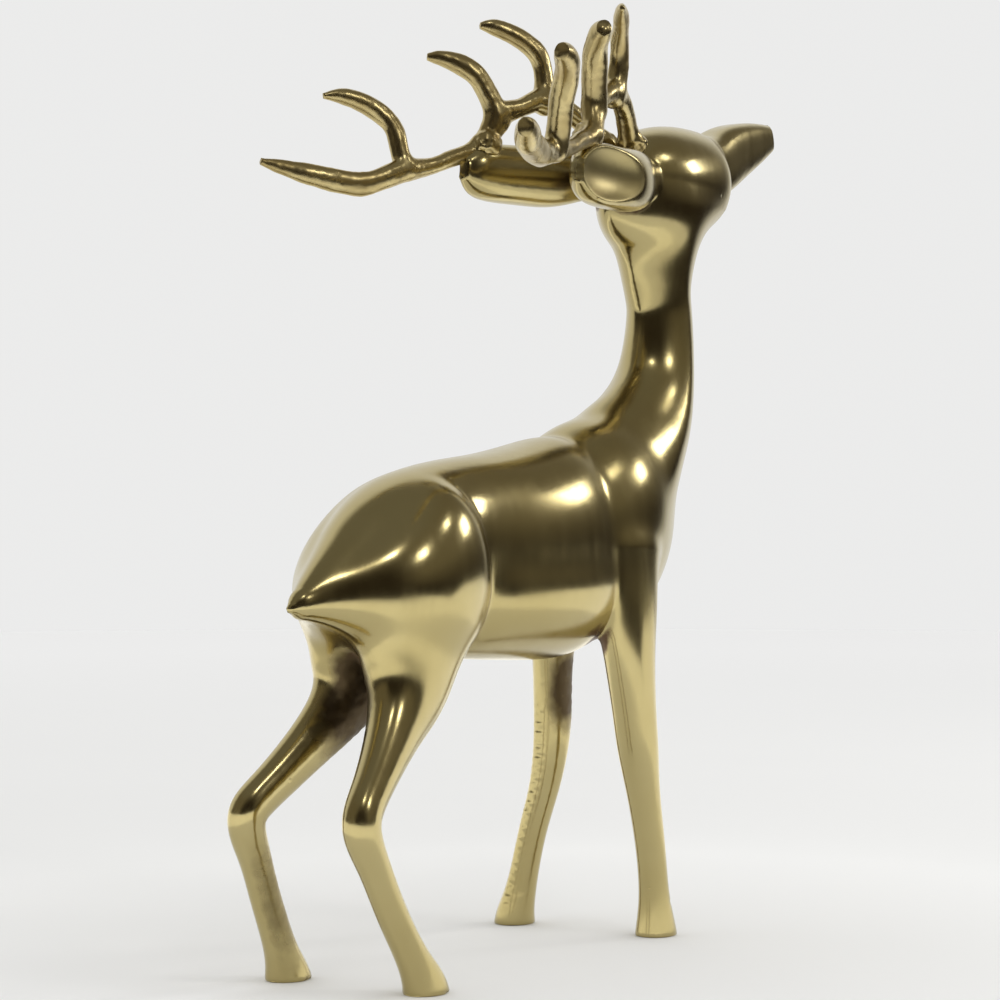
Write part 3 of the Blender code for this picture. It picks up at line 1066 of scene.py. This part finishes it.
@dataclass(frozen=True)
class PaleTable:
    """A matt white table top, painted whiter towards its far edge: painted light that makes up for the lamps'
    light falling off away from the figure.
    """

    near_colour: Colour = (0.86, 0.86, 0.85)
    uneven_colour: Colour = (0.8471, 0.8471, 0.83725)
    far_colour: Colour = (0.94, 0.94, 0.935)
    unevenness: Pattern = Pattern(5.0)
    lighter_from: Range = (0.6, 2.4)
    rough: float = 0.85

    def build(self) -> bpy.types.Material:
        """Make the material: white paint with a faint unevenness, and painted light that makes it lighter
        with distance.
        """
        bench = MetalBench("pale_table")
        place = bench.place()
        cloud = bench.noise(place, self.unevenness)
        near = bench.mix(Mixed.COLOURS, cloud, self.near_colour, self.uneven_colour)
        # Painted light: whiter with distance from the figure, where the lamps light the floor less
        away = bench.spread(bench.vector("LENGTH", place), self.lighter_from)
        bench.coat("Base Color", bench.mix(Mixed.COLOURS, away, near, self.far_colour))
        bench.coat("Roughness", self.rough)
        return bench.material


@dataclass(frozen=True)
class GlowingCard:
    """A white card that is lit from behind."""

    colour: Colour = (0.8, 0.8, 0.78)
    fibre_colour: Colour = (0.784, 0.784, 0.7644)
    fibres: Pattern = Pattern(40.0, 2.0)
    light: Colour = (1.0, 1.0, 0.97)
    glow: float = 0.62
    rough: float = 0.9

    def build(self) -> bpy.types.Material:
        """Make the material: an even glow over white paper."""
        bench = MetalBench("glowing_card")
        paper = bench.noise(bench.place(), self.fibres)
        bench.coat("Base Color", bench.mix(Mixed.COLOURS, paper, self.colour, self.fibre_colour))
        bench.coat("Roughness", self.rough)
        bench.coat("Emission Color", self.light)
        bench.coat("Emission Strength", self.glow)
        return bench.material


@dataclass
class Casting:
    """Shared work of every casting: melt the forms, settle them, dress them and place them."""

    name: str = "casting"
    node: str = ""
    slot: str = "polished_casting"
    voxel: float = 1.46 * GRAIN
    probe: float = 0.05 * GRAIN
    settle_rounds: int = 3
    settle_step: float = 3.6 * GRAIN
    recess_reach: float = 9.0 * GRAIN
    fillet_reach: float = 26.0 * GRAIN

    def forms(self) -> list:
        """Every form that the casting is melted from."""
        raise NotImplementedError

    def distance(self, points: np.ndarray) -> np.ndarray:
        """How far points lie outside the casting."""
        raise NotImplementedError

    def relief(self, points: np.ndarray, outward: np.ndarray) -> np.ndarray:
        """How far each point moves outward for tool marks, in metres."""
        return np.zeros(len(points))

    def unpolished(self, points: np.ndarray, outward: np.ndarray) -> np.ndarray:
        """Where the skin is left as cast, from nought to one."""
        return np.zeros(len(points))

    def brushed(self, points: np.ndarray) -> np.ndarray:
        """Where the skin is only brushed, from nought to one."""
        return np.zeros(len(points))

    def build(self, finish: bpy.types.Material) -> bpy.types.Object:
        """Make the piece.

        Args:
            finish: Its material.

        Returns:
            The piece's object, at the origin, riding on the root body.
        """
        mesh = melted(self.name, self.forms(), self.voxel)
        rough = read_points(mesh)
        for form in self.forms():
            form.hold(rough, self.fillet_reach)
        points = settle(rough, self.distance, self.settle_rounds, self.probe, self.settle_step)
        outward = gradient(self.distance, points, self.probe)
        outward /= np.maximum(np.linalg.norm(outward, axis=1, keepdims=True), TINY)
        # The recess share is how near other skin lies outward, like ambient occlusion; the materials darken
        # it as painted shade
        clear = self.distance(points + outward * self.recess_reach)
        write_points(mesh, points + outward * self.relief(points, outward)[:, None])
        write_attribute(mesh, "recess", ramp(clear, self.recess_reach, 0.0))
        write_attribute(mesh, "unpolished", self.unpolished(points, outward))
        write_attribute(mesh, "brushed", self.brushed(points))
        mesh.shade_smooth()
        mesh.materials.clear()
        mesh.materials.append(finish)
        piece = new_object(self.name, mesh)
        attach(piece, "root")
        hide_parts(self.node)
        log.info("%s: %d faces", self.name, len(mesh.polygons))
        return piece


@dataclass
class Body(Casting):
    """Torso, haunches, legs, neck, head and ears, cast as one."""

    name: str = "deer_casting"
    node: str = "deer_body"
    bowls: tuple[Lump, ...] = (
        Lump((-12.0, 46.5, 344.0), (36.0, 17.0, 16.8), Side.LEFT),
        Lump((-12.0, 46.5, 340.3), (36.0, 17.0, 16.8), Side.RIGHT),
    )
    brushed_range: Range = (1.2 * GRAIN, 0.4 * GRAIN)

    file_turn: float = math.radians(162.3)
    file_facing: Range = (0.86, 0.96)
    file_foot: Range = (6.0, 12.0)
    file_top: Range = (108.0, 94.0)
    file_lift: float = 0.45
    file_depth: float = 0.21
    file_wander: Waves = Waves(0.07, 7.0, 11)
    file_pitch: float = 2.3

    raw_places: tuple[tuple[Lump, float], ...] = (
        (Lump((-146.0, 9.0, 118.0), (34.0, 26.0, 36.0)), 1.0),
        (Lump((-146.0, -9.0, 118.0), (34.0, 26.0, 36.0)), 0.8),
        (Lump((-172.0, 22.0, 42.0), (30.0, 16.0, 46.0)), 0.45),
        (Lump((28.0, 12.0, 112.0), (16.0, 16.0, 26.0)), 1.0),
    )
    raw_facing: Range = (0.05, 0.55)
    raw_edge: Range = (1.0, 0.45)
    raw_grit: tuple[Waves, Waves] = (Waves(0.10, 4.5, 12), Waves(0.05, 2.6, 13))

    nicks: tuple[Lump, ...] = (
        Lump((-168.0, 25.0, 8.0), (3.0, 3.5, 1.2)),
        Lump((-150.0, -39.5, 17.0), (5.0, 3.0, 1.6)),
        Lump((-147.0, -36.0, 5.0), (4.0, 3.0, 3.0)),
        Lump((35.0, -41.0, 16.5), (6.0, 4.0, 2.2)),
        Lump((23.0, 34.0, 17.5), (5.0, 4.0, 1.6)),
    )
    nick_depth: float = 2.2

    def __post_init__(self) -> None:
        """Make the forms once."""
        self.torso = Form(TORSO, squareness=2.15)
        self.belly = Form(BELLY)
        self.chest = Form(CHEST)
        self.shoulder = Form(SHOULDER)
        self.neck = Form(NECK, squareness=1.62)
        self.skull = Form(SKULL)
        self.muzzle = Form(MUZZLE, squareness=3.4)
        self.ears = [Form(EAR[side], side, squareness=2.3) for side in Side]
        self.haunches = [Form(HAUNCH, side) for side in Side]
        self.hind_legs = [Form(HIND_LEG[side], side) for side in Side]
        self.front_legs = [Form(FRONT_LEG[side], side) for side in Side]

    def forms(self) -> list:
        """Every form that the casting is melted from."""
        paired = self.ears + self.haunches + self.hind_legs + self.front_legs
        middle = [self.torso, self.belly, self.chest, self.shoulder, self.neck, self.skull, self.muzzle]
        return middle + paired

    def distance(self, points: np.ndarray) -> np.ndarray:
        """Legs melt into haunches and shoulders, haunches and ears keep a crease, soles are flat."""
        fore = joined(points, (self.chest, self.shoulder, self.neck, *self.front_legs), Join.FIRM)
        barrel = joined(points, (self.torso, self.belly), Join.GROOVE)
        trunk = smooth_min((barrel, fore), Join.GROOVE.radius)
        quarters = [joined(points, pair, Join.SOFT) for pair in zip(self.haunches, self.hind_legs)]
        head = joined(points, (self.skull, self.muzzle), Join.CREASE)
        whole = smooth_min((trunk, head), Join.SOFT.radius)
        whole = smooth_min((whole, *quarters), Join.GROOVE.radius)
        whole = smooth_min((whole, *[ear.distance(points) for ear in self.ears]), Join.CREASE.radius)
        for bowl in self.bowls:
            whole = smooth_max(whole, -bowl.distance(points), Join.CREASE.radius)
        return smooth_max(whole, -points[:, 2], Join.EDGE.radius)

    def relief(self, points: np.ndarray, outward: np.ndarray) -> np.ndarray:
        """File marks down the far front leg's rear edge, rough inner thighs, nicked hooves.

        The file marks are a sine wave down the leg, only where the skin faces back and outward. The
        rough places are two sizes of waves. Each nick is a small lump pressed into the skin.

        Args:
            points: The settled skin, in metres.
            outward: Which way it faces.

        Returns:
            How far each point moves outward, in metres.
        """
        height = points[:, 2] / GRAIN
        far_fore_leg = (points[:, 1] > 0.0) & (points[:, 0] > 0.0)
        way = np.array((math.cos(self.file_turn), math.sin(self.file_turn), 0.0))
        filed = ramp(outward @ way, *self.file_facing) * far_fore_leg
        filed = filed * ramp(height, *self.file_foot) * ramp(height, *self.file_top)
        depth = self.file_depth + self.file_wander.at(points)
        teeth = filed * (self.file_lift + depth * np.sin(2.0 * np.pi * height / self.file_pitch))
        grit = self.unpolished(points, outward) * sum(waves.at(points) for waves in self.raw_grit)
        dents = sum(ramp(nick.share(points), 1.0, 0.0) ** 2 for nick in self.nicks)
        return (teeth + grit - self.nick_depth * dents) * GRAIN

    def unpolished(self, points: np.ndarray, outward: np.ndarray) -> np.ndarray:
        """Inner thighs, inner shanks and the far front leg's inner side, where no wheel reaches.

        Each place is a rounded region times how far the skin faces the other legs.

        Args:
            points: The settled skin, in metres.
            outward: Which way it faces.

        Returns:
            Shares from nought to one.
        """
        facing = ramp(-np.sign(points[:, 1]) * outward[:, 1], *self.raw_facing)
        shares = [share * ramp(place.share(points), *self.raw_edge) for place, share in self.raw_places]
        return np.max(shares, axis=0) * facing

    def brushed(self, points: np.ndarray) -> np.ndarray:
        """The dished ears: near the surface of either bowl."""
        gaps = np.min([np.abs(bowl.distance(points)) for bowl in self.bowls], axis=0)
        return ramp(gaps, *self.brushed_range)


@dataclass
class Antler(Casting):
    """A beam with three tines, a collar at its foot and a braze lump at the ear."""

    side: Side = Side.LEFT
    slot: str = "antler_casting"
    voxel: float = 0.75 * GRAIN
    recess_reach: float = 4.0 * GRAIN
    tip_up: ClassVar[dict[Side, float]] = {Side.LEFT: 0.0, Side.RIGHT: math.radians(2.0)}
    skin: tuple[Waves, Waves] = (Waves(0.13, 16.0, 5), Waves(0.03, 4.0, 6))
    braze: Waves = Waves(0.35, 4.6, 7)
    braze_reach: float = 2.5 * GRAIN

    def __post_init__(self) -> None:
        """Make the forms once."""
        self.node = f"antler_{self.side.name.lower()}"
        self.name = self.node + "_casting"
        collar = Lump((52.5, 7.5, 362.0), (7.2, 7.0, 4.6), self.side)
        lump = Lump((-19.0, 26.0, 356.0), (6.6, 6.6, 6.6), self.side)
        self.lumps = [collar, lump]
        pivot = collar.centre * (1.0, 0.0, 1.0)
        beam = (*BEAM_INNER, *BEAM_OUTER[self.side])
        shapes = (beam, FRONT_TINE, MIDDLE_TINE[self.side], REAR_TINE[self.side])
        self.rods = [Form(shape, self.side).tip(self.tip_up[self.side], pivot) for shape in shapes]

    def forms(self) -> list:
        """Every form that the casting is melted from."""
        return self.rods + self.lumps

    def distance(self, points: np.ndarray) -> np.ndarray:
        """Rods and lumps melt into each other with a narrow fillet."""
        return joined(points, self.forms(), Join.NARROW)

    def relief(self, points: np.ndarray, outward: np.ndarray) -> np.ndarray:
        """Lumpy cast skin, roughest on the collar and the braze lump."""
        gaps = np.min([lump.distance(points) for lump in self.lumps], axis=0)
        near = ramp(gaps, self.braze_reach, 0.0)
        return (sum(waves.at(points) for waves in self.skin) + near * self.braze.at(points)) * GRAIN


@dataclass(frozen=True)
class Softbox:
    """A lamp with a soft square face, aimed at the figure."""

    name: str
    bearing: Bearing
    width: float
    height: float
    brightness: float
    distance: float = 1.6
    aim_height: float = 0.2
    tint: Colour = (1.0, 0.99, 0.965)

    def build(self) -> None:
        """Put the lamp at its distance, facing the figure: its power is pi, times area, times brightness."""
        data = bpy.data.lights.new(self.name, "AREA")
        data.shape = "RECTANGLE"
        data.size = self.width
        data.size_y = self.height
        data.energy = math.pi * self.width * self.height * self.brightness
        data.color = self.tint
        lamp = new_object(self.name, data)
        way = self.bearing.way()
        lamp.location = (UPRIGHT * self.aim_height + way * self.distance).tolist()
        lamp.visible_camera = False
        aim(lamp, -way)


@dataclass
class Studio:
    """Table, room light, lamps and camera."""

    camera_place: Triple = (-1.1461, -0.700, 0.2005)
    lens: float = 108.0
    sensor: float = 36.0
    horizon_rise: float = -0.010
    turns: int = 96
    table_radius: float = 1.1
    floor_radius: float = 3.0
    table_rim: float = 0.012
    page: Colour = (0.835, 0.835, 0.83)
    dome: Colour = (0.93, 0.93, 0.93)
    backdrop: Colour = (0.88, 0.88, 0.86)
    room_shade: Colour = (0.190, 0.170, 0.130)
    ceiling_shade: Colour = (0.22, 0.21, 0.185)
    black_cloth: Colour = (0.030, 0.024, 0.018)
    wall_range: Range = (0.02, 0.30)
    ceiling_range: Range = (0.75, 0.95)
    cloth_lobe: Lobe = Lobe(Bearing(165.0, 12.0), 24.0, 48.0)
    backdrop_lobe: Lobe = Lobe(Bearing(-20.0, 4.0), 48.0, 62.0)
    bounce_lobe: Lobe = Lobe(Bearing(68.0, 0.0), 16.0, 38.0)
    bounce_radius: float = 0.36
    bounce_height: float = 0.095
    bounce_rise: float = 0.06
    bounce_foot: float = 0.001
    softboxes: tuple[Softbox, ...] = (
        Softbox("flank_softbox", Bearing(62.0, 24.0), 0.26, 0.24, 11.0),
        Softbox("neck_softbox", Bearing(84.0, 40.0), 0.16, 0.16, 7.0),
        Softbox("rump_softbox", Bearing(121.0, 35.0), 0.20, 0.20, 11.0),
        Softbox("high_softbox", Bearing(154.0, 53.0), 0.14, 0.14, 14.0),
    )

    def staged(self, name: str, points: np.ndarray, faces: list,
               finish: bpy.types.Material) -> bpy.types.Object:
        """Make a thing of the studio, which isn't a part of the figure."""
        mesh = new_mesh(name, points.reshape(-1, 3), faces)
        mesh.materials.append(finish)
        item = new_object(name, mesh)
        return item

    def floor(self) -> None:
        """A round pale table top, and the floor beyond it, which the metal doesn't mirror.

        Each is rings about the figure, from the foot of its rim inwards. One face fills the table's middle.
        """
        paint = PaleTable().build()
        drop = np.array((-self.table_rim, 0.0, 0.0))[:, None, None] * UPRIGHT
        sheets = {}
        for name, outer, inner in (
            ("table_top", self.table_radius, 0.5 * self.table_radius),
            ("far_floor", self.floor_radius, self.table_radius),
        ):
            reach = np.array((outer, outer, inner))[:, None, None]
            faces = ring_faces(3, self.turns)
            if name == "table_top":
                faces.append(list(range(2 * self.turns, 3 * self.turns)))
            sheets[name] = self.staged(name, reach * circle(self.turns) + drop, faces, paint)
        sheets["far_floor"].visible_glossy = False

    def bounce(self) -> None:
        """A low white card round the figure, higher beside the near leg, that only the metal mirrors."""
        ring = circle(self.turns)
        rise = self.bounce_rise * ramp(ring @ self.bounce_lobe.middle.way(), *self.bounce_lobe.cosines)
        levels = np.stack((np.full(self.turns, self.bounce_foot), self.bounce_height + rise))
        points = ring * self.bounce_radius + levels[..., None] * UPRIGHT
        card = self.staged("bounce_card", points, ring_faces(2, self.turns), GlowingCard().build())
        card.visible_camera = False
        card.visible_shadow = False
        card.visible_diffuse = False

    def room(self) -> None:
        """A dim room that the metal mirrors, under an even white dome that lights the floor.

        The metal sees a white backdrop beyond the figure and a black cloth behind the camera. The
        world isn't sampled as a lamp, so that each kind of ray meets its own part of it.
        """
        world = bpy.data.worlds.new("studio_room")
        bpy.context.scene.world = world
        world.use_nodes = True
        world.node_tree.nodes.clear()
        bench = NodeBench(world.node_tree)
        way = bench.node("ShaderNodeTexCoord").outputs["Generated"]
        height = bench.vector("DOT_PRODUCT", way, tuple(UPRIGHT.tolist()))
        wall = bench.spread(height, self.wall_range)
        shade = bench.mix(Mixed.COLOURS, wall, self.black_cloth, self.room_shade)
        for cover, colour in (
            (bench.spread(height, self.ceiling_range), self.ceiling_shade),
            (bench.lobe(way, self.cloth_lobe), self.black_cloth),
            (bench.lobe(way, self.backdrop_lobe), self.backdrop),
        ):
            shade = bench.mix(Mixed.COLOURS, cover, shade, colour)
        kind = bench.node("ShaderNodeLightPath")
        surface = bench.glow(shade)
        for ray, colour in (("Is Diffuse Ray", self.dome), ("Is Camera Ray", self.page)):
            choose = bench.node("ShaderNodeMixShader")
            for place, value in enumerate((kind.outputs[ray], surface, bench.glow(colour))):
                bench.feed(choose.inputs[place], value)
            surface = choose.outputs[0]
        bench.feed(bench.node("ShaderNodeOutputWorld").inputs["Surface"], surface)
        world.cycles.sampling_method = "NONE"

    def camera(self) -> None:
        """The photograph's viewing angle: level, from behind and to the right."""
        data = bpy.data.cameras.new("studio_camera")
        data.lens = self.lens
        data.sensor_width = self.sensor
        data.shift_y = self.horizon_rise
        item = new_object("studio_camera", data)
        item.location = self.camera_place
        aim(item, SIGHT)
        bpy.context.scene.camera = item

    def build(self) -> None:
        """Set the whole studio."""
        self.floor()
        self.bounce()
        self.room()
        for softbox in self.softboxes:
            softbox.build()
        self.camera()
        bpy.context.scene.view_settings.view_transform = "Standard"


def main() -> None:
    """Build the castings and the studio in order."""
    logging.basicConfig(level=logging.INFO, format="%(name)s %(message)s")
    polished = PolishedCasting().build()
    as_cast = AntlerCasting().build()
    Body().build(polished)
    for side in Side:
        Antler(side=side).build(as_cast)
    Studio().build()


if __name__ == "__main__":
    main()
